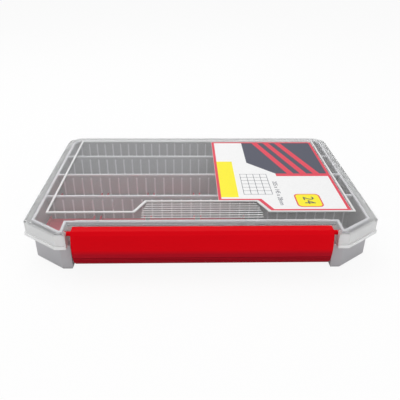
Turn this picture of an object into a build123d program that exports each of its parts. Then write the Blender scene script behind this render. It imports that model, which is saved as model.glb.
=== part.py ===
from build123d import *
import os
from math import hypot

# Fishing tackle box: a ribbed tray, a clear hinged lid, a front latch bar and loose dividers.
# Millimetres.  X runs along the box, Y from front to back, Z up; the origin is the centre of the
# overall size at the underside of the tray.

# ---------------------------------------------------------------- overall size
LENGTH = 205.0
DEPTH = 145.0
HEIGHT = 28.0

# ---------------------------------------------------------------- lid
LID_WALL = 1.5              # skirt thickness
LID_PLATE = 1.3             # top plate thickness
RIDGE_HEIGHT = 0.8          # stacking ridge above the plate
RIDGE_WIDTH = 1.1
LIP_WIDTH = 0.7             # how far the lip at the skirt's foot stands out
LIP_HEIGHT = 1.9
SKIRT_FOOT = 17.3           # height of the skirt's lower edge
LID_BACK_RADIUS = 11.0
EDGE_RADIUS = 1.0           # rounding of the lid's top edges
SHOULDER_SETBACK = 2.0      # shoulders behind the latch's front
RECESS_SETBACK = 10.9       # the lid's front wall behind the latch's front
CHAMFER_X = 20.2            # front corner chamfer, along and across
CHAMFER_Y = 14.9

# ---------------------------------------------------------------- tray
TRAY_INSET = 3.8            # tray wall inside the lid's outer face
TRAY_WALL = 1.5
TRAY_RECESS_EXTRA = 1.6     # further inset of the tray's front wall behind the latch
TRAY_FLOOR = 2.0
TRAY_TOP_GAP = 0.3          # between the tray's rim and the lid's plate
TRAY_FOOT_RADIUS = 2.4
FLANGE_GAP = 0.4            # between the tray's flange and the lid's skirt
FLANGE_BOTTOM = 17.8
FLANGE_THICKNESS = 1.4
LANE_COUNT = 4
LANE_WALL = 1.6
SHOULDER_SPLIT = 15.5       # inside height where the shoulder pocket narrows
RIB_PITCH = 6.2
RIB_WIDTH = 0.9
RIB_DEPTH = 0.8
RIB_TOP = 23.0
RIB_END_SPACE = 15.0        # plain wall left beyond the last rib
FRONT_LANE_SKIP = 2         # ribs left out at each end of the front lane

# ---------------------------------------------------------------- latch
LATCH_END_INSET = 30.2      # latch end inside the overall end
LATCH_END_GAP = 3.2         # latch end to the lid's recess side
LATCH_WALL = 1.6
LATCH_TOP_GAP = 0.2         # latch top below the overall height
LATCH_FOOT = 5.0
LATCH_BACK_Y = 8.6          # latch top's rear edge, behind its front
LATCH_BULGE = 1.8           # how far the front face bows out
LATCH_TUCK = 5.2            # how far the foot tucks in behind the front
LATCH_CROWN = 3.5           # top corner rounding, across
PIVOT_SETBACK = 6.5         # pivot behind the latch's front
PIVOT_DROP = 3.4            # pivot below the overall height
PIVOT_RADIUS = 1.3
RUNNING_GAP = 0.06          # radial clearance of the pivots and pins
GRIP_GROOVES = 6
GRIP_PITCH = 1.25
GRIP_RADIUS = 0.35
CATCH_SETBACK = 6.5         # catch rail's face behind the latch's front
CATCH_THICKNESS = 1.2
CATCH_DEPTH = 5.2           # height of the catch rail
CATCH_TOP = 17.0
CATCH_END_GAP = 2.0         # catch rail's end to the latch's end plate
CATCH_GUSSETS = 7
BEAD_GAP = 0.15             # between the latch's snap bead and the rail's face
BEAD_HEIGHT = 2.4

# ---------------------------------------------------------------- hinge
HINGE_SETBACK = 1.9         # hinge axis inside the overall back
HINGE_HEIGHT = 15.0
HINGE_RADIUS = 1.8
HINGE_PIN_RADIUS = 0.9
HINGE_SPACING = 120.0
HINGE_EAR = 4.0             # length of each tray ear
HINGE_KNUCKLE = 12.0        # length of the lid's knuckle
HINGE_END_GAP = 0.3

# ---------------------------------------------------------------- dividers
DIVIDER_COUNT = 20
FRONT_LANE_DIVIDERS = 8
DIVIDER_PLATE = 1.0
DIVIDER_END_GAP = 0.25      # divider end to the lane's wall when it stands in the ribs
DIVIDER_RIB_GAP = 0.1       # divider flange to the rib beside it
DIVIDER_HEIGHT = 22.0
DIVIDER_BEAD = 1.6          # thickened upper edge
STOW_GAP = 3.1              # between dividers lying in a row
STOW_LAYERS = 2

# ---------------------------------------------------------------- lid details
RIDGE_SIDE = 11.5           # ridge inside the overall end
RIDGE_FRONT = 24.1          # ridge behind the latch's front
RIDGE_BACK = 9.5            # ridge inside the overall back
NOTCH_DEPTH = 12.8          # thumb notch in the ridge
NOTCH_MOUTH = 79.0
NOTCH_THROAT = 67.0
GRIP_LINES = 7
GRIP_LINE_PITCH = 2.6
GRIP_LINE_WIDTH = 0.5
GRIP_LINE_HEIGHT = 0.3
FRONT_LINE_SETBACK = 15.5   # fine line along the lid's front edge
LABEL_THICKNESS = 0.2
LABEL_GAP = 0.6             # label's edge to the ridge
LABEL_LEFT = 10.5           # label's left edge, right of the centre

# ---------------------------------------------------------------- derived places
UP = (0, 0, 1)
PLATE_TOP = HEIGHT - RIDGE_HEIGHT
PLATE_UNDER = PLATE_TOP - LID_PLATE
TRAY_TOP = PLATE_UNDER - TRAY_TOP_GAP
LID_HALF = LENGTH / 2 - LIP_WIDTH
LID_BACK = DEPTH / 2 - LIP_WIDTH
FRONT = -DEPTH / 2
SHOULDER_Y = FRONT + SHOULDER_SETBACK
RECESS_Y = FRONT + RECESS_SETBACK
LATCH_HALF = LENGTH / 2 - LATCH_END_INSET
RECESS_HALF = LATCH_HALF + LATCH_END_GAP
CHAMFER_LENGTH = hypot(CHAMFER_X, CHAMFER_Y)
SHOULDER_GAP = 0.8          # tray shoulder to the lid's recess side
UPPER_SIDE = RECESS_HALF + LID_WALL + SHOULDER_GAP
LOWER_SIDE = LATCH_HALF + CATCH_END_GAP
CAVITY_INSET = TRAY_INSET + TRAY_WALL
CAVITY_HALF = LID_HALF - CAVITY_INSET
CAVITY_FRONT = RECESS_Y + CAVITY_INSET + TRAY_RECESS_EXTRA
CAVITY_BACK = LID_BACK - CAVITY_INSET
LANE_WIDTH = (CAVITY_BACK - CAVITY_FRONT - (LANE_COUNT - 1) * LANE_WALL) / LANE_COUNT
LANE_PITCH = LANE_WIDTH + LANE_WALL
PIVOT_Y = FRONT + PIVOT_SETBACK
PIVOT_Z = HEIGHT - PIVOT_DROP
HINGE_Y = DEPTH / 2 - HINGE_SETBACK
RIB_STEPS = int((CAVITY_HALF - RIB_END_SPACE) / RIB_PITCH)
CATCH_Y = FRONT + CATCH_SETBACK
DIVIDER_LENGTH = LANE_WIDTH - 2 * DIVIDER_END_GAP
DIVIDER_WIDTH = RIB_PITCH - RIB_WIDTH - 2 * DIVIDER_RIB_GAP


def prism(face, low, high):
    """Stand a flat outline up between two heights."""
    return Pos(0, 0, low) * extrude(face, amount=high - low, dir=UP)


def block(x0, x1, y0, y1, z0, z1):
    """A box given by its two corners."""
    return Pos((x0 + x1) / 2, (y0 + y1) / 2, (z0 + z1) / 2) * Box(x1 - x0, y1 - y0, z1 - z0)


def bar_x(radius, x0, x1, y, z):
    """A round bar along X."""
    return Pos((x0 + x1) / 2, y, z) * Rot(0, 90, 0) * Cylinder(radius, x1 - x0)


def rounded(face, pick, radius):
    """Round the corners of a flat outline that the pick function chooses."""
    corners = [corner for corner in face.vertices() if pick(corner)]
    return fillet(corners, radius)


def plan(inset, side=None, recess_extra=0.0):
    """The box's outline from above, moved inwards; side and recess_extra place the latch recess."""
    half = LID_HALF - inset
    back = LID_BACK - inset
    front = SHOULDER_Y + inset
    recess = RECESS_Y + inset + recess_extra
    inner = RECESS_HALF + inset if side is None else side
    chamfer_back = SHOULDER_Y + CHAMFER_Y + inset * (CHAMFER_LENGTH - CHAMFER_Y) / CHAMFER_X
    chamfer_end = LID_HALF - CHAMFER_X - inset * (CHAMFER_LENGTH - CHAMFER_X) / CHAMFER_Y
    right = [(inner, recess), (inner, front), (chamfer_end, front), (half, chamfer_back), (half, back)]
    left = [(-x, y) for x, y in reversed(right)]
    face = make_face(Polyline(*right, *left, close=True))
    return rounded(face, lambda corner: corner.Y > 0, LID_BACK_RADIUS - inset)


def lane_front(lane):
    """Front face of a lane, counted from the front of the box."""
    return CAVITY_FRONT + lane * LANE_PITCH


def rib_places(lane):
    """X of the guide ribs of a lane."""
    steps = RIB_STEPS - (FRONT_LANE_SKIP if lane == 0 else 0)
    return [step * RIB_PITCH for step in range(-steps, steps + 1)]


def make_tray():
    """One-piece tub: rounded foot, four lanes with guide ribs, flange, catch rail and hinge ears."""
    lower = prism(plan(TRAY_INSET, LOWER_SIDE, TRAY_RECESS_EXTRA), 0, CATCH_TOP)
    foot = lower.edges().group_by(Axis.Z)[0]
    lower = fillet(foot, TRAY_FOOT_RADIUS)
    upper = prism(plan(TRAY_INSET, UPPER_SIDE, TRAY_RECESS_EXTRA), CATCH_TOP, TRAY_TOP)
    flange_face = plan(LID_WALL + FLANGE_GAP)
    flange = prism(flange_face, FLANGE_BOTTOM, FLANGE_BOTTOM + FLANGE_THICKNESS)
    tray = lower + upper + flange

    cuts = []
    cavity = plan(CAVITY_INSET, UPPER_SIDE + TRAY_WALL, TRAY_RECESS_EXTRA)
    for lane in range(LANE_COUNT):
        front = lane_front(lane)
        middle = front + LANE_WIDTH / 2
        lane_face = cavity & (Pos(0, middle) * Rectangle(LENGTH, LANE_WIDTH))
        cuts.append(prism(lane_face, RIB_TOP, TRAY_TOP + 1))
        ribs = []
        for x in rib_places(lane):
            for y in (front + RIB_DEPTH / 2, front + LANE_WIDTH - RIB_DEPTH / 2):
                ribs.append(Pos(x, y) * Rectangle(RIB_WIDTH, RIB_DEPTH))
        cuts.append(prism(lane_face - ribs, TRAY_FLOOR, RIB_TOP))
    pocket_band = Pos(0, CAVITY_FRONT - DEPTH / 8) * Rectangle(LENGTH, DEPTH / 4)
    lower_pockets = plan(CAVITY_INSET, LOWER_SIDE + TRAY_WALL, TRAY_RECESS_EXTRA) & pocket_band
    upper_pockets = cavity & pocket_band
    cuts.append(prism(lower_pockets, TRAY_FLOOR, SHOULDER_SPLIT))
    cuts.append(prism(upper_pockets, SHOULDER_SPLIT, TRAY_TOP + 1))
    tray = tray - cuts

    wall_y = RECESS_Y + TRAY_INSET + TRAY_RECESS_EXTRA
    rail_half = LATCH_HALF - LATCH_WALL - CATCH_END_GAP
    tray += block(-rail_half, rail_half, CATCH_Y, wall_y, CATCH_TOP - LANE_WALL, CATCH_TOP)
    rail_foot = CATCH_TOP - CATCH_DEPTH
    tray += block(-rail_half, rail_half, CATCH_Y, CATCH_Y + CATCH_THICKNESS, rail_foot, CATCH_TOP)
    for number in range(CATCH_GUSSETS):
        x = (number / (CATCH_GUSSETS - 1) - 0.5) * (2 * rail_half - LANE_WALL)
        tray += block(x - LANE_WALL / 2, x + LANE_WALL / 2, CATCH_Y, wall_y, rail_foot, CATCH_TOP)

    tray_back = LID_BACK - TRAY_INSET
    for centre in (-HINGE_SPACING / 2, HINGE_SPACING / 2):
        for side in (-1, 1):
            inner = centre + side * (HINGE_KNUCKLE / 2 + HINGE_END_GAP)
            outer = inner + side * HINGE_EAR
            x0, x1 = min(inner, outer), max(inner, outer)
            ear = bar_x(HINGE_RADIUS, x0, x1, HINGE_Y, HINGE_HEIGHT)
            web_low = HINGE_HEIGHT - HINGE_RADIUS
            ear += block(x0, x1, tray_back - TRAY_WALL / 2, HINGE_Y, web_low, HINGE_HEIGHT)
            hole = bar_x(HINGE_PIN_RADIUS + RUNNING_GAP, x0 - 1, x1 + 1, HINGE_Y, HINGE_HEIGHT)
            tray = tray + ear - hole
    return tray


def ridge_outline(inset):
    """The stacking ridge's outline with its thumb notch, moved inwards."""
    side = LENGTH / 2 - RIDGE_SIDE - inset
    front = FRONT + RIDGE_FRONT + inset
    back = DEPTH / 2 - RIDGE_BACK - inset
    mouth = NOTCH_MOUTH / 2 + inset
    throat = NOTCH_THROAT / 2 + inset
    deep = FRONT + RIDGE_FRONT + NOTCH_DEPTH + inset
    right = [(throat, deep), (mouth, front), (side, front), (side, back)]
    left = [(-x, y) for x, y in reversed(right)]
    return make_face(Polyline(*right, *left, close=True))


def make_lid():
    """Clear lid: skirt with a lip, stacking ridge, grip lines, latch pivots and hinge knuckles."""
    lid = prism(plan(0), SKIRT_FOOT, PLATE_TOP)
    lid = fillet(lid.edges().group_by(Axis.Z)[-1], EDGE_RADIUS)
    lip_side = RECESS_HALF
    lip = prism(plan(-LIP_WIDTH, lip_side), SKIRT_FOOT, SKIRT_FOOT + LIP_HEIGHT)
    lid = lid + lip - prism(plan(LID_WALL), SKIRT_FOOT - 1, PLATE_UNDER)

    ridge = prism(ridge_outline(0) - ridge_outline(RIDGE_WIDTH), PLATE_TOP - 0.1, HEIGHT)
    lid += ridge
    grip_front = FRONT + RIDGE_FRONT + NOTCH_DEPTH - GRIP_LINE_PITCH
    for number in range(GRIP_LINES):
        y = grip_front - number * GRIP_LINE_PITCH
        half = NOTCH_THROAT / 2 + min(number, 4) * GRIP_LINE_WIDTH
        top = PLATE_TOP + GRIP_LINE_HEIGHT
        lid += block(-half, half, y - GRIP_LINE_WIDTH / 2, y + GRIP_LINE_WIDTH / 2, PLATE_TOP - 0.1, top)
    line_y = FRONT + FRONT_LINE_SETBACK
    line_half = RECESS_HALF - LATCH_END_GAP
    line_top = PLATE_TOP + GRIP_LINE_HEIGHT
    lid += block(-line_half, line_half, line_y, line_y + GRIP_LINE_WIDTH, PLATE_TOP - 0.1, line_top)

    for side in (-1, 1):
        reach = RECESS_HALF + LID_WALL / 2
        hole = bar_x(PIVOT_RADIUS + RUNNING_GAP, side * reach - 1.5, side * reach + 1.5, PIVOT_Y, PIVOT_Z)
        lid -= hole

    for centre in (-HINGE_SPACING / 2, HINGE_SPACING / 2):
        x0 = centre - HINGE_KNUCKLE / 2
        x1 = centre + HINGE_KNUCKLE / 2
        knuckle = bar_x(HINGE_RADIUS, x0, x1, HINGE_Y, HINGE_HEIGHT)
        knuckle += block(x0, x1, LID_BACK - LID_WALL, LID_BACK, HINGE_HEIGHT, SKIRT_FOOT + 0.5)
        hole = bar_x(HINGE_PIN_RADIUS + RUNNING_GAP, x0 - 1, x1 + 1, HINGE_Y, HINGE_HEIGHT)
        lid = lid + knuckle - hole
    return lid


def latch_profile():
    """The latch's outer section in the YZ plane, closed along its back."""
    top = HEIGHT - LATCH_TOP_GAP
    shoulder = FRONT + LATCH_BULGE
    upper = top - LATCH_BULGE
    middle = (upper + LATCH_FOOT + LATCH_CROWN) / 2
    lower = LATCH_FOOT + LATCH_CROWN
    crown = Line((FRONT + LATCH_BACK_Y, top), (FRONT + LATCH_CROWN, top))
    corner = Line(crown @ 1, (shoulder, upper))
    face = ThreePointArc((shoulder, upper), (FRONT, middle), (shoulder, lower))
    foot = Line((shoulder, lower), (FRONT + LATCH_TUCK, LATCH_FOOT))
    sill = Line(foot @ 1, (FRONT + LATCH_TUCK + LATCH_WALL, LATCH_FOOT))
    back = Line(sill @ 1, (FRONT + LATCH_BACK_Y, top - LATCH_CROWN - LATCH_BULGE))
    close = Line(back @ 1, crown @ 0)
    return make_face([crown, corner, face, foot, sill, back, close])


def make_latch():
    """Hollow bar with a bowed face, end plates with pivot stubs, a snap bead and a grooved grip."""
    section = Plane.YZ * latch_profile()
    bar = extrude(section, amount=LATCH_HALF, both=True)
    hollow_face = Plane.YZ * (Pos(LATCH_WALL, -LATCH_WALL) * latch_profile())
    hollow_half = LATCH_HALF - LATCH_WALL
    hollow = extrude(hollow_face, amount=hollow_half, both=True)
    open_front = FRONT + LATCH_TUCK + 0.1
    open_top = LATCH_FOOT + LATCH_WALL + 0.4
    foot_open = block(-hollow_half, hollow_half, open_front, 0, 0, open_top)
    front_wall = extrude(Plane.YZ * (Pos(LATCH_WALL, 0) * latch_profile()), amount=hollow_half, both=True)
    room = hollow & front_wall
    latch = bar - room - foot_open

    bead_face = CATCH_Y - BEAD_GAP
    bead_top = CATCH_TOP - CATCH_DEPTH - BEAD_GAP
    bead_root = FRONT + LATCH_BULGE + LATCH_WALL / 2
    bead_half = hollow_half - CATCH_END_GAP
    latch += block(-bead_half, bead_half, bead_root, bead_face, bead_top - BEAD_HEIGHT, bead_top)

    chamfer_run = LATCH_TUCK - LATCH_BULGE
    for number in range(GRIP_GROOVES):
        z = LATCH_FOOT + 0.6 + number * GRIP_PITCH
        climb = min((z - LATCH_FOOT) / LATCH_CROWN, 1.0)
        y = FRONT + LATCH_TUCK - climb * chamfer_run
        if climb >= 1.0:
            y = FRONT + LATCH_BULGE - (z - LATCH_FOOT - LATCH_CROWN) * 0.33
        latch -= bar_x(GRIP_RADIUS, -LATCH_HALF - 1, LATCH_HALF + 1, y, z)

    stub_end = RECESS_HALF + LID_WALL - 0.2
    for side in (-1, 1):
        x0, x1 = sorted((side * (LATCH_HALF - LATCH_WALL / 2), side * stub_end))
        latch += bar_x(PIVOT_RADIUS, x0, x1, PIVOT_Y, PIVOT_Z)
    return latch


def make_label():
    """Paper label on the right half of the lid, inside the ridge."""
    area = ridge_outline(RIDGE_WIDTH + LABEL_GAP)
    right_half = Pos(LABEL_LEFT + LENGTH / 4, 0) * Rectangle(LENGTH / 2, DEPTH)
    return prism(area & right_half, PLATE_TOP, PLATE_TOP + LABEL_THICKNESS)


def make_hinge_pin(centre):
    """Plain pin through two tray ears and the lid's knuckle."""
    half = HINGE_KNUCKLE / 2 + HINGE_END_GAP + HINGE_EAR
    return bar_x(HINGE_PIN_RADIUS, centre - half, centre + half, HINGE_Y, HINGE_HEIGHT)


def make_divider():
    """I-shaped divider lying flat, centred on its own middle."""
    half = DIVIDER_LENGTH / 2
    high = DIVIDER_HEIGHT / 2
    flange = DIVIDER_WIDTH / 2
    plate = DIVIDER_PLATE / 2
    divider = block(-half, half, -high, high, -plate, plate)
    for side in (-1, 1):
        x0, x1 = sorted((side * half, side * (half - DIVIDER_PLATE)))
        divider += block(x0, x1, -high, high, -flange, flange)
    bead = DIVIDER_BEAD / 2
    return divider + block(-half, half, high - 2 * DIVIDER_BEAD, high - DIVIDER_BEAD, -bead, bead)


def divider_place(number):
    """Where a divider lies: front lane first, then the next lane, in rows two deep."""
    lane = 0 if number < FRONT_LANE_DIVIDERS else 1
    index = number if lane == 0 else number - FRONT_LANE_DIVIDERS
    total = FRONT_LANE_DIVIDERS if lane == 0 else DIVIDER_COUNT - FRONT_LANE_DIVIDERS
    room = int((2 * CAVITY_HALF + STOW_GAP / 2) / (DIVIDER_LENGTH + STOW_GAP))
    row = min(room, -(-total // STOW_LAYERS))
    column = index % row
    layer = index // row
    x = -CAVITY_HALF + STOW_GAP / 4 + DIVIDER_LENGTH / 2 + column * (DIVIDER_LENGTH + STOW_GAP)
    lane_back = lane_front(lane) + LANE_WIDTH - RIB_DEPTH
    y = lane_back - DIVIDER_RIB_GAP * 4 - DIVIDER_HEIGHT / 2
    z = TRAY_FLOOR + DIVIDER_WIDTH * (layer + 0.5)
    return x, y, z


parts = {
    "tray": make_tray(),
    "lid": make_lid(),
    "latch": make_latch(),
    "label": make_label(),
    "hinge_pin_left": make_hinge_pin(-HINGE_SPACING / 2),
    "hinge_pin_right": make_hinge_pin(HINGE_SPACING / 2),
}
for number in range(DIVIDER_COUNT):
    parts[f"divider_{number + 1:02d}"] = Pos(*divider_place(number)) * make_divider()

os.makedirs("parts", exist_ok=True)
for name, shape in parts.items():
    export_step(shape, f"parts/{name}.step")
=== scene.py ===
"""Looks of the fishing tackle box: finishes for its moulded parts and the printed label on its lid."""
import math

import bmesh
import bpy
from bpy.props import FloatProperty, FloatVectorProperty, IntProperty, StringProperty
from mathutils import Matrix, Vector


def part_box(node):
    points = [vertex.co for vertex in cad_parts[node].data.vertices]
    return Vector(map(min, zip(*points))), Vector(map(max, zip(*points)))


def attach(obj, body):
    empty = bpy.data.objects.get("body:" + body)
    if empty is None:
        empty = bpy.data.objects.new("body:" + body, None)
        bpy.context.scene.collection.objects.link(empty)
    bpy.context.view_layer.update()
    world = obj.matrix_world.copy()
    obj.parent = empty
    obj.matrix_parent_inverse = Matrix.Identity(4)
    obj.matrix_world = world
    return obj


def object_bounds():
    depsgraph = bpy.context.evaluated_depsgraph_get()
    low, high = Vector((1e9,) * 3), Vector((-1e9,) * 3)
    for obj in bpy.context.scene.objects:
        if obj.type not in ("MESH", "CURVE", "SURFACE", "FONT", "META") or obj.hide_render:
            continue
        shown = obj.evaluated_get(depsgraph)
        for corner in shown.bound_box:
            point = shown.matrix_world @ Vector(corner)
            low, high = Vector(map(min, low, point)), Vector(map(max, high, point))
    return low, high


bl_info = {
    "name": "Fishing Tackle Box",
    "version": (1, 0, 0),
    "blender": (4, 5, 0),
    "location": "View3D > Sidebar > Tackle Box",
    "description": "Builds the finishes, label print and stage of a fishing tackle box",
    "category": "Object",
}

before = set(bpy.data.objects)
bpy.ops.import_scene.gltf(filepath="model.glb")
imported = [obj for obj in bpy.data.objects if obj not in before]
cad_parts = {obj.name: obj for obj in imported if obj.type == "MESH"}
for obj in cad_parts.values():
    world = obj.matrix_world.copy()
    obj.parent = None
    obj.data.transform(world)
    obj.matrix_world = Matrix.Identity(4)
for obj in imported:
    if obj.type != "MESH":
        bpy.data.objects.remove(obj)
CAD_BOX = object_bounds()
MM = 0.001
LABEL_LOW, LABEL_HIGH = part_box("label")

# ---------------------------------------------------------------- places on the moulded parts, in millimetres

LANE_FACES = (-54.9, 66.7)          # front and back of the row of lanes
RIB_HEIGHTS = (2.3, 23.2)           # guide ribs, clear of the floor
RIB_PITCH = 6.2
RIB_WIDTH = 1.0
RIM_HIGHLIGHT_HEIGHTS = (24.6, 27.0)          # top of the tray's walls, painted paler as a highlight
RIB_HIGHLIGHT_GAIN = 1.6                      # how much paler the painted highlights on the ribs and the rim are than the tray

RIDGE_HEIGHTS = (27.26, 29.0)       # stacking ridge and grip lines of the lid
LIP_HEIGHTS = (17.0, 19.3)
SKIRT_HEIGHTS = (19.3, 25.85)
SKIRT_HIGHLIGHT_SHARE = 0.75                   # share of the painted highlight on the skirt, where the ridge and the lip have 1
CLEAR_PASS = 0.94                   # light let through by the plate
HIGHLIGHT_PASS = 0.25                   # light let through by the ridge and the lip, whose milky white is a painted highlight

PAINTED_SHADE_HEIGHTS = (17.6, 14.4)        # where the painted shade on the latch's lower face begins and where it is full
GRIP_HEIGHTS = (4.0, 12.4)
GROOVE_FIRST = 5.6                  # height of the lowest grip groove
GROOVE_PITCH = 1.25
GROOVE_WIDTH = 0.45
# darker reds painted as shade on the latch's lower face and in its grip grooves
PAINTED_SHADE_COLOUR = (0.42, 0.004, 0.014)
GROOVE_SHADE_COLOUR = (0.24, 0.004, 0.012)

# ---------------------------------------------------------------- layout of the label, in millimetres

EDGE_MARGIN = 0.15                  # bare edge outside the red border
NOTCH_DEPTH = 12.8                  # the thumb notch's corner
NOTCH_X = 35.2
MOUTH_X = 41.2
STRIP_WIDTH = 11.0                  # yellow strip
STRIP_RISE = 15.0
STRIP_BACK = 24.0
FIELD_LEFT = 34.0                   # charcoal field with a slanted front
FIELD_SLANT_X = 52.0
FIELD_FRONT = 4.0
FIELD_SLANT_Y = 22.0
STRIPE_COUNT = 3
STRIPE_FIRST = 60.0
STRIPE_PITCH = 9.0
STRIPE_WIDTH = 4.5
STRIPE_LEAN = 18.0
BADGE = (59.0, 73.5, -41.5, -26.5)
BADGE_RADIUS = 2.5
BADGE_RIM = (58.2, 74.3, -42.3, -25.7)
BADGE_RIM_RADIUS = 3.0
COUNT_PLACE = (66.2, -34.0)
COUNT_HEIGHT = 9.5
SIZE_PLACE = (49.0, -24.0)
SIZE_HEIGHT = 4.2
DIAGRAM = (27.2, 45.2, -26.0, 3.0)


# ---------------------------------------------------------------- sizes and colours

class TackleBoxColours(bpy.types.PropertyGroup):
    """Colours of the box, in linear light."""

    tray: FloatVectorProperty(
        name="Tray", description="Moulded tray", subtype="COLOR", size=3,
        default=(0.47, 0.465, 0.485), min=0.0, max=1.0,
    )
    lid: FloatVectorProperty(
        name="Lid", description="Clear lid", subtype="COLOR", size=3,
        default=(0.98, 0.985, 0.985), min=0.0, max=1.0,
    )
    latch: FloatVectorProperty(
        name="Latch", description="Front latch bar", subtype="COLOR", size=3,
        default=(0.72, 0.0005, 0.006), min=0.0, max=1.0,
    )
    divider: FloatVectorProperty(
        name="Dividers", description="Loose dividers", subtype="COLOR", size=3,
        default=(0.62, 0.012, 0.05), min=0.0, max=1.0,
    )
    pin: FloatVectorProperty(
        name="Pins", description="Hinge pins", subtype="COLOR", size=3,
        default=(0.6, 0.6, 0.61), min=0.0, max=1.0,
    )
    paper: FloatVectorProperty(
        name="Paper", description="Label ground", subtype="COLOR", size=3,
        default=(0.9, 0.9, 0.9), min=0.0, max=1.0,
    )
    print_red: FloatVectorProperty(
        name="Print red", description="Red ink of the label", subtype="COLOR", size=3,
        default=(0.76, 0.05, 0.09), min=0.0, max=1.0,
    )
    print_yellow: FloatVectorProperty(
        name="Print yellow", description="Yellow ink of the label", subtype="COLOR", size=3,
        default=(0.98, 0.86, 0.01), min=0.0, max=1.0,
    )
    print_dark: FloatVectorProperty(
        name="Print dark", description="Charcoal ink of the label", subtype="COLOR", size=3,
        default=(0.07, 0.075, 0.11), min=0.0, max=1.0,
    )


class TackleBoxLabel(bpy.types.PropertyGroup):
    """Sizes of the label's print."""

    border: FloatProperty(
        name="Border", description="Width of the red border", subtype="DISTANCE",
        default=2.0 * MM, min=0.5 * MM, max=6.0 * MM,
    )
    ink: FloatProperty(
        name="Ink layer", description="Thickness of one layer of print", subtype="DISTANCE",
        default=0.03 * MM, min=0.01 * MM, max=0.1 * MM,
    )
    columns: IntProperty(
        name="Columns", description="Compartments across the plan diagram", default=4, min=1, max=12,
    )
    rows: IntProperty(
        name="Rows", description="Compartments along the plan diagram", default=6, min=1, max=12,
    )
    line: FloatProperty(
        name="Line", description="Width of the diagram's lines", subtype="DISTANCE",
        default=0.3 * MM, min=0.1 * MM, max=1.0 * MM,
    )
    count_text: StringProperty(
        name="Count", description="Number of compartments on the badge", default="24",
    )
    size_text: StringProperty(
        name="Size", description="Outside size on the label", default="205 x 145 x 28mm",
    )


class TackleBoxStage(bpy.types.PropertyGroup):
    """Camera and lights."""

    focal: FloatProperty(
        name="Focal length", description="Camera lens in millimetres", default=42.06, min=10.0, max=200.0,
    )
    pitch: FloatProperty(
        name="Pitch", description="How far the camera looks down", subtype="ANGLE",
        default=math.radians(28.94), min=0.0, max=math.pi / 2,
    )
    yaw: FloatProperty(
        name="Yaw", description="How far the camera turns to the right", subtype="ANGLE",
        default=math.radians(1.84), min=-math.pi, max=math.pi,
    )
    roll: FloatProperty(
        name="Roll", description="Turn of the camera about its view", subtype="ANGLE",
        default=math.radians(0.69), min=-math.pi, max=math.pi,
    )
    place: FloatVectorProperty(
        name="Camera place", description="Where the camera stands", subtype="TRANSLATION", size=3,
        default=(-8.93 * MM, -284.6 * MM, 166.5 * MM),
    )
    world: FloatProperty(
        name="World light", description="Strength of the even light on the object",
        default=0.62, min=0.0, max=3.0,
    )
    key: FloatProperty(
        name="Key light", description="Power of the large soft lamp above", subtype="POWER",
        default=2.6, min=0.0, max=100.0,
    )
    fill: FloatProperty(
        name="Fill light", description="Power of the front lamp", subtype="POWER",
        default=0.8, min=0.0, max=100.0,
    )


# ---------------------------------------------------------------- materials

def new_material(name):
    """A material with its Principled shader, and both."""
    material = bpy.data.materials.new(name)
    material.use_nodes = True
    return material, material.node_tree.nodes["Principled BSDF"]


def add(material, kind, **values):
    """A shader node with its properties and sockets set."""
    node = material.node_tree.nodes.new(kind)
    for key, value in values.items():
        if key in node.inputs:
            node.inputs[key].default_value = value
        else:
            setattr(node, key, value)
    return node


def join(material, out_socket, in_socket):
    material.node_tree.links.new(out_socket, in_socket)


def object_noise(material, scale, detail=3.0, roughness=0.55, stretch=(1, 1, 1)):
    """Noise in object coordinates, in cells per metre."""
    place = add(material, "ShaderNodeTexCoord")
    mapping = add(material, "ShaderNodeMapping")
    mapping.inputs["Scale"].default_value = stretch
    noise = add(material, "ShaderNodeTexNoise", Scale=scale, Detail=detail, Roughness=roughness)
    join(material, place.outputs["Object"], mapping.inputs["Vector"])
    join(material, mapping.outputs["Vector"], noise.inputs["Vector"])
    return noise


def vary_colour(material, shader, colour, noise, spread):
    """Let the base colour drift a little around its value."""
    ramp = add(material, "ShaderNodeValToRGB")
    ramp.color_ramp.elements[0].position = 0.3
    ramp.color_ramp.elements[1].position = 0.7
    ramp.color_ramp.elements[0].color = (*[c * (1 - spread) for c in colour], 1)
    ramp.color_ramp.elements[1].color = (*[min(1, c * (1 + spread)) for c in colour], 1)
    join(material, noise.outputs["Fac"], ramp.inputs["Fac"])
    join(material, ramp.outputs["Color"], shader.inputs["Base Color"])


def vary_roughness(material, shader, noise, low, high):
    """Let the roughness drift between two values."""
    span = add(material, "ShaderNodeMapRange")
    span.inputs["To Min"].default_value = low
    span.inputs["To Max"].default_value = high
    join(material, noise.outputs["Fac"], span.inputs["Value"])
    join(material, span.outputs["Result"], shader.inputs["Roughness"])


def add_bump(material, shader, noise, height, strength=0.4):
    """Fine relief from a noise."""
    bump = add(material, "ShaderNodeBump", Strength=strength, Distance=height)
    join(material, noise.outputs["Fac"], bump.inputs["Height"])
    join(material, bump.outputs["Normal"], shader.inputs["Normal"])


def object_axes(material):
    """The object's own X, Y and Z as three sockets, in metres."""
    place = add(material, "ShaderNodeTexCoord")
    split = add(material, "ShaderNodeSeparateXYZ")
    join(material, place.outputs["Object"], split.inputs[0])
    return split.outputs


def between(material, value, low, high):
    """One where a value lies between two heights or places in millimetres."""
    inside = add(material, "ShaderNodeMath", operation="COMPARE")
    inside.inputs[1].default_value = (low + high) / 2 * MM
    inside.inputs[2].default_value = (high - low) / 2 * MM
    join(material, value, inside.inputs[0])
    return inside.outputs[0]


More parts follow.
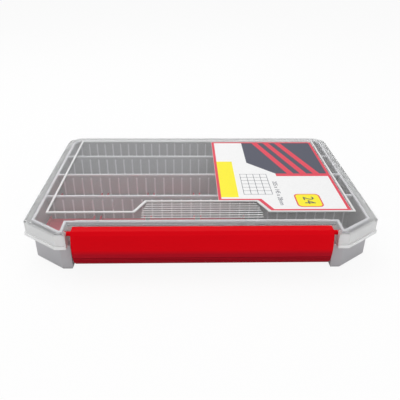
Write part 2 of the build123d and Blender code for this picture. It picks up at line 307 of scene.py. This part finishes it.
def stripes(material, value, first, pitch, width):
    """One on bars of a width that repeat at a pitch from the first one, in millimetres."""
    shift = add(material, "ShaderNodeMath", operation="SUBTRACT")
    shift.inputs[1].default_value = first * MM
    fold = add(material, "ShaderNodeMath", operation="PINGPONG")
    fold.inputs[1].default_value = pitch / 2 * MM
    near = add(material, "ShaderNodeMath", operation="LESS_THAN")
    near.inputs[1].default_value = width / 2 * MM
    join(material, value, shift.inputs[0])
    join(material, shift.outputs[0], fold.inputs[0])
    join(material, fold.outputs[0], near.inputs[0])
    return near.outputs[0]


def both(material, first, second, operation="MULTIPLY"):
    """Two masks as one."""
    meet = add(material, "ShaderNodeMath", operation=operation)
    join(material, first, meet.inputs[0])
    join(material, second, meet.inputs[1])
    return meet.outputs[0]


def accent(material, mask, colour):
    """Change the base colour to another where a mask is one."""
    shader = material.node_tree.nodes["Principled BSDF"]
    mix = add(material, "ShaderNodeMix", data_type="RGBA")
    join(material, mask, mix.inputs[0])
    join(material, shader.inputs["Base Color"].links[0].from_socket, mix.inputs[6])
    mix.inputs[7].default_value = (*colour, 1)
    join(material, mix.outputs[2], shader.inputs["Base Color"])


def moulded_plastic(name, colour, rough, grain, spread=0.05, coat=0.0, gloss=0.5):
    """Moulded plastic: slight flow variation, fine spark texture and uneven gloss."""
    material, shader = new_material(name)
    flow = object_noise(material, 28.0, stretch=(0.4, 1, 1))
    spark = object_noise(material, 2600.0, detail=2.0)
    vary_colour(material, shader, colour, flow, spread)
    vary_roughness(material, shader, flow, rough - 0.06, rough + 0.06)
    add_bump(material, shader, spark, grain)
    shader.inputs["Specular IOR Level"].default_value = gloss
    shader.inputs["Coat Weight"].default_value = coat
    shader.inputs["Coat Roughness"].default_value = 0.12
    return material


def clear_plastic(colour):
    """Clear polystyrene with a faint moulding ripple, made milky white on its skirt, lip and ridge as a
    painted highlight where these edges catch light.
    """
    material, shader = new_material("clear_polystyrene")
    ripple = object_noise(material, 35.0, detail=1.0)
    shader.inputs["Base Color"].default_value = (*colour, 1)
    shader.inputs["Transmission Weight"].default_value = 1.0
    shader.inputs["IOR"].default_value = 1.22
    vary_roughness(material, shader, ripple, 0.0, 0.04)
    # painted highlight: the ridge, the lip and the skirt let less light through, so they show milky white
    # like lit edges
    height = object_axes(material)["Z"]
    ridge = between(material, height, *RIDGE_HEIGHTS)
    lip = between(material, height, *LIP_HEIGHTS)
    edges = both(material, ridge, lip, "ADD")
    skirt = add(material, "ShaderNodeMath", operation="MULTIPLY")
    skirt.inputs[1].default_value = SKIRT_HIGHLIGHT_SHARE
    join(material, between(material, height, *SKIRT_HEIGHTS), skirt.inputs[0])
    edges = both(material, edges, skirt.outputs[0], "ADD")
    highlight_span = add(material, "ShaderNodeMapRange")
    highlight_span.inputs["To Min"].default_value = CLEAR_PASS
    highlight_span.inputs["To Max"].default_value = HIGHLIGHT_PASS
    join(material, edges, highlight_span.inputs["Value"])
    join(material, highlight_span.outputs["Result"], shader.inputs["Transmission Weight"])
    return material


def drawn_steel(colour):
    """Bright drawn wire for the hinge pins."""
    material, shader = new_material("drawn_steel")
    streaks = object_noise(material, 900.0, stretch=(0.05, 1, 1))
    vary_colour(material, shader, colour, streaks, 0.08)
    vary_roughness(material, shader, streaks, 0.25, 0.4)
    shader.inputs["Metallic"].default_value = 1.0
    return material


def printed(name, colour):
    """Ink or coated paper under the clear film of a label."""
    material, shader = new_material(name)
    fibre = object_noise(material, 900.0, detail=4.0)
    vary_colour(material, shader, colour, fibre, 0.03)
    vary_roughness(material, shader, fibre, 0.42, 0.55)
    add_bump(material, shader, fibre, 0.02 * MM, 0.2)
    return material


def finish_node(node, material):
    """Give a CAD node its finish."""
    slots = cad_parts[node].data.materials
    slots.clear()
    slots.append(material)


# ---------------------------------------------------------------- label print

def flat_piece(name, outline, level, material, holes=()):
    """A thin layer of print: an outline in millimetres, standing one ink layer above its level."""
    label = bpy.context.scene.tackle_label
    low = LABEL_HIGH[2] + level * label.ink
    mesh = bpy.data.meshes.new(name)
    sheet = bmesh.new()
    edges = []
    for ring in (outline, *holes):
        corners = [sheet.verts.new((x * MM, y * MM, low)) for x, y in ring]
        for first, second in zip(corners, corners[1:] + corners[:1]):
            edges.append(sheet.edges.new((first, second)))
    bmesh.ops.triangle_fill(sheet, use_beauty=True, use_dissolve=False, edges=edges)
    bmesh.ops.recalc_face_normals(sheet, faces=sheet.faces)
    made = bmesh.ops.extrude_face_region(sheet, geom=sheet.faces[:])
    raised = [item for item in made["geom"] if isinstance(item, bmesh.types.BMVert)]
    bmesh.ops.translate(sheet, verts=raised, vec=(0, 0, label.ink))
    bmesh.ops.recalc_face_normals(sheet, faces=sheet.faces)
    sheet.to_mesh(mesh)
    sheet.free()
    return finish_print(name, mesh, material)


def finish_print(name, mesh, material):
    """Link a piece of print, give it its ink and let it ride on the lid."""
    mesh.materials.clear()
    mesh.materials.append(material)
    piece = bpy.data.objects.new(name, mesh)
    bpy.context.scene.collection.objects.link(piece)
    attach(piece, "lid")
    return piece


def rectangle(x0, x1, y0, y1):
    return [(x0, y0), (x1, y0), (x1, y1), (x0, y1)]


def rounded_rectangle(x0, x1, y0, y1, radius, steps=6):
    """A rectangle with round corners, counter-clockwise."""
    points = []
    centres = ((x1 - radius, y1 - radius), (x0 + radius, y1 - radius),
               (x0 + radius, y0 + radius), (x1 - radius, y0 + radius))
    for quarter, (x, y) in enumerate(centres):
        for step in range(steps + 1):
            angle = (quarter + step / steps) * math.pi / 2
            points.append((x + radius * math.cos(angle), y + radius * math.sin(angle)))
    return points


def text_piece(name, words, size, place, level, material):
    """Words that read towards the front, turned a quarter; place is the middle, in millimetres."""
    label = bpy.context.scene.tackle_label
    curve = bpy.data.curves.new(name, "FONT")
    curve.body = words
    curve.size = size * MM
    curve.align_x = "CENTER"
    curve.align_y = "CENTER"
    curve.extrude = label.ink / 2
    curve.fill_mode = "BOTH"
    shape = bpy.data.objects.new(name + "_curve", curve)
    bpy.context.scene.collection.objects.link(shape)
    bpy.context.view_layer.update()
    mesh = bpy.data.meshes.new_from_object(shape.evaluated_get(bpy.context.evaluated_depsgraph_get()))
    bpy.data.objects.remove(shape)
    low = LABEL_HIGH[2] + (level + 0.5) * label.ink
    move = Matrix.Translation((place[0] * MM, place[1] * MM, low))
    mesh.transform(move @ Matrix.Rotation(-math.pi / 2, 4, "Z"))
    return finish_print(name, mesh, material)


def label_outline(inset):
    """The label's edge with the thumb notch's corner, moved inwards, in millimetres."""
    left = LABEL_LOW[0] / MM + inset
    right = LABEL_HIGH[0] / MM - inset
    front = LABEL_LOW[1] / MM + inset
    back = LABEL_HIGH[1] / MM - inset
    notch_back = front + NOTCH_DEPTH
    return [(left, notch_back), (NOTCH_X + inset, notch_back), (MOUTH_X + inset, front),
            (right, front), (right, back), (left, back)]


def grid_tree(columns, rows):
    """Geometry nodes that lay the lines of the compartment diagram."""
    tree = bpy.data.node_groups.new("compartment_diagram", "GeometryNodeTree")
    face = tree.interface
    face.new_socket("Geometry", in_out="OUTPUT", socket_type="NodeSocketGeometry")
    for name, default in (("Width", 18 * MM), ("Length", 29 * MM), ("Line", 0.3 * MM), ("Height", 0.03 * MM)):
        socket = face.new_socket(name, in_out="INPUT", socket_type="NodeSocketFloat")
        socket.default_value = default
    for name, default in (("Columns", columns), ("Rows", rows)):
        socket = face.new_socket(name, in_out="INPUT", socket_type="NodeSocketInt")
        socket.default_value = default
    face.new_socket("Material", in_out="INPUT", socket_type="NodeSocketMaterial")
    nodes, links = tree.nodes, tree.links
    inputs = nodes.new("NodeGroupInput")
    outputs = nodes.new("NodeGroupOutput")
    gather = nodes.new("GeometryNodeJoinGeometry")
    for count_name, span_name, across_name, along_x in (
        ("Columns", "Width", "Length", True), ("Rows", "Length", "Width", False),
    ):
        bar = nodes.new("GeometryNodeMeshCube")
        size = nodes.new("ShaderNodeCombineXYZ")
        links.new(inputs.outputs["Line"], size.inputs["X" if along_x else "Y"])
        longer = nodes.new("ShaderNodeMath")
        longer.operation = "ADD"
        links.new(inputs.outputs[across_name], longer.inputs[0])
        links.new(inputs.outputs["Line"], longer.inputs[1])
        links.new(longer.outputs[0], size.inputs["Y" if along_x else "X"])
        links.new(inputs.outputs["Height"], size.inputs["Z"])
        links.new(size.outputs[0], bar.inputs["Size"])
        more = nodes.new("ShaderNodeMath")
        more.operation = "ADD"
        more.inputs[1].default_value = 1.0
        links.new(inputs.outputs[count_name], more.inputs[0])
        half = nodes.new("ShaderNodeMath")
        half.operation = "MULTIPLY"
        half.inputs[1].default_value = 0.5
        links.new(inputs.outputs[span_name], half.inputs[0])
        minus = nodes.new("ShaderNodeMath")
        minus.operation = "MULTIPLY"
        minus.inputs[1].default_value = -0.5
        links.new(inputs.outputs[span_name], minus.inputs[0])
        row = nodes.new("GeometryNodeMeshLine")
        row.mode = "END_POINTS"
        links.new(more.outputs[0], row.inputs["Count"])
        start = nodes.new("ShaderNodeCombineXYZ")
        end = nodes.new("ShaderNodeCombineXYZ")
        axis = "X" if along_x else "Y"
        links.new(minus.outputs[0], start.inputs[axis])
        links.new(half.outputs[0], end.inputs[axis])
        links.new(start.outputs[0], row.inputs["Start Location"])
        links.new(end.outputs[0], row.inputs["Offset"])
        spread = nodes.new("GeometryNodeInstanceOnPoints")
        links.new(row.outputs[0], spread.inputs["Points"])
        links.new(bar.outputs["Mesh"], spread.inputs["Instance"])
        links.new(spread.outputs[0], gather.inputs[0])
    realize = nodes.new("GeometryNodeRealizeInstances")
    paint = nodes.new("GeometryNodeSetMaterial")
    links.new(gather.outputs[0], realize.inputs[0])
    links.new(realize.outputs[0], paint.inputs["Geometry"])
    links.new(inputs.outputs["Material"], paint.inputs["Material"])
    links.new(paint.outputs[0], outputs.inputs[0])
    return tree


def diagram_piece(name, x0, x1, y0, y1, level, material):
    """The plan of the compartments as fine lines."""
    label = bpy.context.scene.tackle_label
    holder = bpy.data.objects.new(name + "_nodes", bpy.data.meshes.new(name + "_base"))
    bpy.context.scene.collection.objects.link(holder)
    modifier = holder.modifiers.new("diagram", "NODES")
    tree = grid_tree(label.columns, label.rows)
    modifier.node_group = tree
    keys = {item.name: item.identifier for item in tree.interface.items_tree if item.in_out == "INPUT"}
    modifier[keys["Width"]] = (x1 - x0) * MM
    modifier[keys["Length"]] = (y1 - y0) * MM
    modifier[keys["Line"]] = label.line
    modifier[keys["Height"]] = label.ink
    modifier[keys["Columns"]] = label.columns
    modifier[keys["Rows"]] = label.rows
    modifier[keys["Material"]] = material
    bpy.context.view_layer.update()
    mesh = bpy.data.meshes.new_from_object(holder.evaluated_get(bpy.context.evaluated_depsgraph_get()))
    bpy.data.objects.remove(holder)
    low = LABEL_HIGH[2] + (level + 0.5) * label.ink
    mesh.transform(Matrix.Translation(((x0 + x1) / 2 * MM, (y0 + y1) / 2 * MM, low)))
    return finish_print(name, mesh, material)


# ---------------------------------------------------------------- operators

class TACKLE_OT_tray(bpy.types.Operator):
    """Finish the moulded tray, with painted highlights on its guide ribs and rim, and its hinge pins"""

    bl_idname = "tackle.tray"
    bl_label = "Tray"

    def execute(self, context):
        colours = context.scene.tackle_colours
        plastic = moulded_plastic("grey_polypropylene", colours.tray, 0.42, 0.03 * MM)
        x, y, z = object_axes(plastic)
        # painted highlight: the guide ribs on the lane walls and the top of the walls are painted paler,
        # standing in for the light their edges catch
        painted_highlight = [min(1.0, value * RIB_HIGHLIGHT_GAIN) for value in colours.tray]
        walls = both(plastic, between(plastic, y, *LANE_FACES), between(plastic, z, *RIB_HEIGHTS))
        accent(plastic, both(plastic, walls, stripes(plastic, x, 0.0, RIB_PITCH, RIB_WIDTH)), painted_highlight)
        accent(plastic, between(plastic, z, *RIM_HIGHLIGHT_HEIGHTS), painted_highlight)
        finish_node("tray", plastic)
        steel = drawn_steel(colours.pin)
        finish_node("hinge_pin_left", steel)
        finish_node("hinge_pin_right", steel)
        return {"FINISHED"}


class TACKLE_OT_lid(bpy.types.Operator):
    """Finish the clear lid, with a painted highlight on its ridge, lip and skirt"""

    bl_idname = "tackle.lid"
    bl_label = "Lid"

    def execute(self, context):
        finish_node("lid", clear_plastic(context.scene.tackle_colours.lid))
        return {"FINISHED"}


class TACKLE_OT_latch(bpy.types.Operator):
    """Finish the latch bar, with painted shade on its lower face and in its grip grooves"""

    bl_idname = "tackle.latch"
    bl_label = "Latch"

    def execute(self, context):
        colour = context.scene.tackle_colours.latch
        plastic = moulded_plastic("red_latch_plastic", colour, 0.45, 0.015 * MM, 0.04, 0.0, 0.04)
        height = object_axes(plastic)["Z"]
        # painted shade: the latch turns darker red towards its lower face, where the face curves under
        low = add(plastic, "ShaderNodeMapRange")
        low.inputs["From Min"].default_value = PAINTED_SHADE_HEIGHTS[0] * MM
        low.inputs["From Max"].default_value = PAINTED_SHADE_HEIGHTS[1] * MM
        join(plastic, height, low.inputs["Value"])
        accent(plastic, low.outputs["Result"], PAINTED_SHADE_COLOUR)
        # painted shade: darker lines laid in the grip grooves
        grip = between(plastic, height, *GRIP_HEIGHTS)
        groove_shade_lines = stripes(plastic, height, GROOVE_FIRST, GROOVE_PITCH, GROOVE_WIDTH)
        accent(plastic, both(plastic, grip, groove_shade_lines), GROOVE_SHADE_COLOUR)
        finish_node("latch", plastic)
        return {"FINISHED"}


class TACKLE_OT_dividers(bpy.types.Operator):
    """Finish the loose dividers"""

    bl_idname = "tackle.dividers"
    bl_label = "Dividers"

    def execute(self, context):
        colour = context.scene.tackle_colours.divider
        plastic = moulded_plastic("red_divider_plastic", colour, 0.35, 0.01 * MM, 0.06, 0.1)
        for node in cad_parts:
            if node.startswith("divider"):
                finish_node(node, plastic)
        return {"FINISHED"}


class TACKLE_OT_label(bpy.types.Operator):
    """Print the label: border, colour fields, compartment diagram, count badge and size"""

    bl_idname = "tackle.label"
    bl_label = "Label"

    def execute(self, context):
        colours = context.scene.tackle_colours
        label = context.scene.tackle_label
        finish_node("label", printed("label_paper", colours.paper))
        red = printed("label_red", colours.print_red)
        yellow = printed("label_yellow", colours.print_yellow)
        dark = printed("label_charcoal", colours.print_dark)
        border = label.border / MM
        inner = label_outline(border)
        right, back = inner[3][0], inner[4][1]
        left, front = inner[0][0], inner[3][1]
        flat_piece("label_border", label_outline(EDGE_MARGIN), 0, red, holes=(inner,))
        strip = rectangle(left, left + STRIP_WIDTH, front + STRIP_RISE, STRIP_BACK)
        flat_piece("label_strip", strip, 0, yellow)
        field = [(FIELD_SLANT_X, FIELD_FRONT), (right, FIELD_FRONT), (right, back),
                 (FIELD_LEFT, back), (FIELD_LEFT, FIELD_SLANT_Y)]
        flat_piece("label_field", field, 0, dark)
        for number in range(STRIPE_COUNT):
            x = STRIPE_FIRST + number * STRIPE_PITCH
            stripe = [(x, FIELD_FRONT), (x + STRIPE_WIDTH, FIELD_FRONT),
                      (x + STRIPE_WIDTH - STRIPE_LEAN, back), (x - STRIPE_LEAN, back)]
            flat_piece(f"label_stripe_{number + 1}", stripe, 1, red)
        flat_piece("label_bar", rectangle(FIELD_SLANT_X, right, 0.0, FIELD_FRONT), 0, red)
        flat_piece("label_badge_rim", rounded_rectangle(*BADGE_RIM, BADGE_RIM_RADIUS), 0, red)
        flat_piece("label_badge", rounded_rectangle(*BADGE, BADGE_RADIUS), 1, yellow)
        text_piece("label_count", label.count_text, COUNT_HEIGHT, COUNT_PLACE, 2, dark)
        text_piece("label_size", label.size_text, SIZE_HEIGHT, SIZE_PLACE, 0, dark)
        diagram_piece("label_diagram", *DIAGRAM, 0, dark)
        return {"FINISHED"}


def rectangle_lamp(name, place, aim, size, power):
    """A large soft lamp that faces a point."""
    data = bpy.data.lights.new(name, "AREA")
    data.shape = "RECTANGLE"
    data.size, data.size_y = size
    data.energy = power
    lamp = bpy.data.objects.new(name, data)
    lamp.location = place
    lamp.rotation_euler = (Vector(aim) - Vector(place)).to_track_quat("-Z", "Y").to_euler()
    bpy.context.scene.collection.objects.link(lamp)


def build_world(strength):
    """Even light for the object, and plain white where the camera, glass or gloss looks past it."""
    world = bpy.data.worlds.new("studio")
    bpy.context.scene.world = world
    world.use_nodes = True
    nodes, links = world.node_tree.nodes, world.node_tree.links
    light = nodes["Background"]
    light.inputs["Color"].default_value = (1, 1, 1, 1)
    light.inputs["Strength"].default_value = strength
    white = nodes.new("ShaderNodeBackground")
    white.inputs["Strength"].default_value = 1.0
    path = nodes.new("ShaderNodeLightPath")
    seen = nodes.new("ShaderNodeMath")
    seen.operation = "MAXIMUM"
    links.new(path.outputs["Is Camera Ray"], seen.inputs[0])
    links.new(path.outputs["Is Transmission Ray"], seen.inputs[1])
    mix = nodes.new("ShaderNodeMixShader")
    links.new(seen.outputs[0], mix.inputs["Fac"])
    links.new(light.outputs[0], mix.inputs[1])
    links.new(white.outputs[0], mix.inputs[2])
    links.new(mix.outputs[0], nodes["World Output"].inputs["Surface"])


def build_floor():
    """A wide pale floor that stays white to the camera but keeps the object's shadow."""
    mesh = bpy.data.meshes.new("floor")
    sheet = bmesh.new()
    bmesh.ops.create_grid(sheet, x_segments=1, y_segments=1, size=3.0)
    bmesh.ops.translate(sheet, verts=sheet.verts, vec=(0, 0, CAD_BOX[0][2] - 0.2 * MM))
    sheet.to_mesh(mesh)
    sheet.free()
    floor = bpy.data.objects.new("floor", mesh)
    bpy.context.scene.collection.objects.link(floor)
    material, shader = new_material("studio_floor")
    shader.inputs["Base Color"].default_value = (0.9, 0.9, 0.9, 1)
    shader.inputs["Roughness"].default_value = 0.9
    shader.inputs["Specular IOR Level"].default_value = 0.1
    glow = add(material, "ShaderNodeEmission", Strength=1.0)
    mix = add(material, "ShaderNodeMixShader")
    mix.inputs["Fac"].default_value = 0.9
    join(material, shader.outputs[0], mix.inputs[1])
    join(material, glow.outputs[0], mix.inputs[2])
    path = add(material, "ShaderNodeLightPath")
    seen = add(material, "ShaderNodeMath", operation="MAXIMUM")
    join(material, path.outputs["Is Camera Ray"], seen.inputs[0])
    join(material, path.outputs["Is Transmission Ray"], seen.inputs[1])
    choose = add(material, "ShaderNodeMixShader")
    join(material, seen.outputs[0], choose.inputs["Fac"])
    join(material, shader.outputs[0], choose.inputs[1])
    join(material, mix.outputs[0], choose.inputs[2])
    join(material, choose.outputs[0], material.node_tree.nodes["Material Output"].inputs["Surface"])
    mesh.materials.append(material)


def build_camera(stage):
    """A camera at the given place and angles."""
    data = bpy.data.cameras.new("camera")
    data.lens = stage.focal
    data.sensor_width = 36.0
    data.clip_start = 0.01
    camera = bpy.data.objects.new("camera", data)
    bpy.context.scene.collection.objects.link(camera)
    forward = Vector((
        math.sin(stage.yaw) * math.cos(stage.pitch),
        math.cos(stage.yaw) * math.cos(stage.pitch),
        -math.sin(stage.pitch),
    ))
    right = Vector((math.cos(stage.yaw), -math.sin(stage.yaw), 0))
    up = right.cross(forward)
    turned_right = right * math.cos(stage.roll) + up * math.sin(stage.roll)
    turned_up = up * math.cos(stage.roll) - right * math.sin(stage.roll)
    turn = Matrix((turned_right, turned_up, -forward)).transposed().to_4x4()
    camera.matrix_world = Matrix.Translation(stage.place) @ turn
    bpy.context.scene.camera = camera


class TACKLE_OT_stage(bpy.types.Operator):
    """Set up the floor, the lights, the world and the camera"""

    bl_idname = "tackle.stage"
    bl_label = "Stage"

    def execute(self, context):
        stage = context.scene.tackle_stage
        context.scene.view_settings.view_transform = "Standard"
        build_world(stage.world)
        build_floor()
        rectangle_lamp("key_lamp", (-0.15, 0.25, 0.7), (0, 0, 0), (0.7, 0.5), stage.key)
        rectangle_lamp("fill_lamp", (0.1, -0.7, 0.45), (0, 0, 0.01), (0.6, 0.4), stage.fill)
        build_camera(stage)
        return {"FINISHED"}


class TACKLE_PT_panel(bpy.types.Panel):
    """Lists the steps of the tackle box"""

    bl_label = "Tackle Box"
    bl_idname = "TACKLE_PT_panel"
    bl_space_type = "VIEW_3D"
    bl_region_type = "UI"
    bl_category = "Tackle Box"

    def draw(self, context):
        for name in STEPS:
            self.layout.operator(f"tackle.{name}")


STEPS = ("tray", "lid", "latch", "dividers", "label", "stage")
CLASSES = (
    TackleBoxColours, TackleBoxLabel, TackleBoxStage,
    TACKLE_OT_tray, TACKLE_OT_lid, TACKLE_OT_latch, TACKLE_OT_dividers,
    TACKLE_OT_label, TACKLE_OT_stage, TACKLE_PT_panel,
)


def register():
    for cls in CLASSES:
        bpy.utils.register_class(cls)
    bpy.types.Scene.tackle_colours = bpy.props.PointerProperty(type=TackleBoxColours)
    bpy.types.Scene.tackle_label = bpy.props.PointerProperty(type=TackleBoxLabel)
    bpy.types.Scene.tackle_stage = bpy.props.PointerProperty(type=TackleBoxStage)


def unregister():
    del bpy.types.Scene.tackle_stage
    del bpy.types.Scene.tackle_label
    del bpy.types.Scene.tackle_colours
    for cls in reversed(CLASSES):
        bpy.utils.unregister_class(cls)


def main():
    """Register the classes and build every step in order."""
    register()
    for name in STEPS:
        getattr(bpy.ops.tackle, name)()


if __name__ == "__main__":
    main()
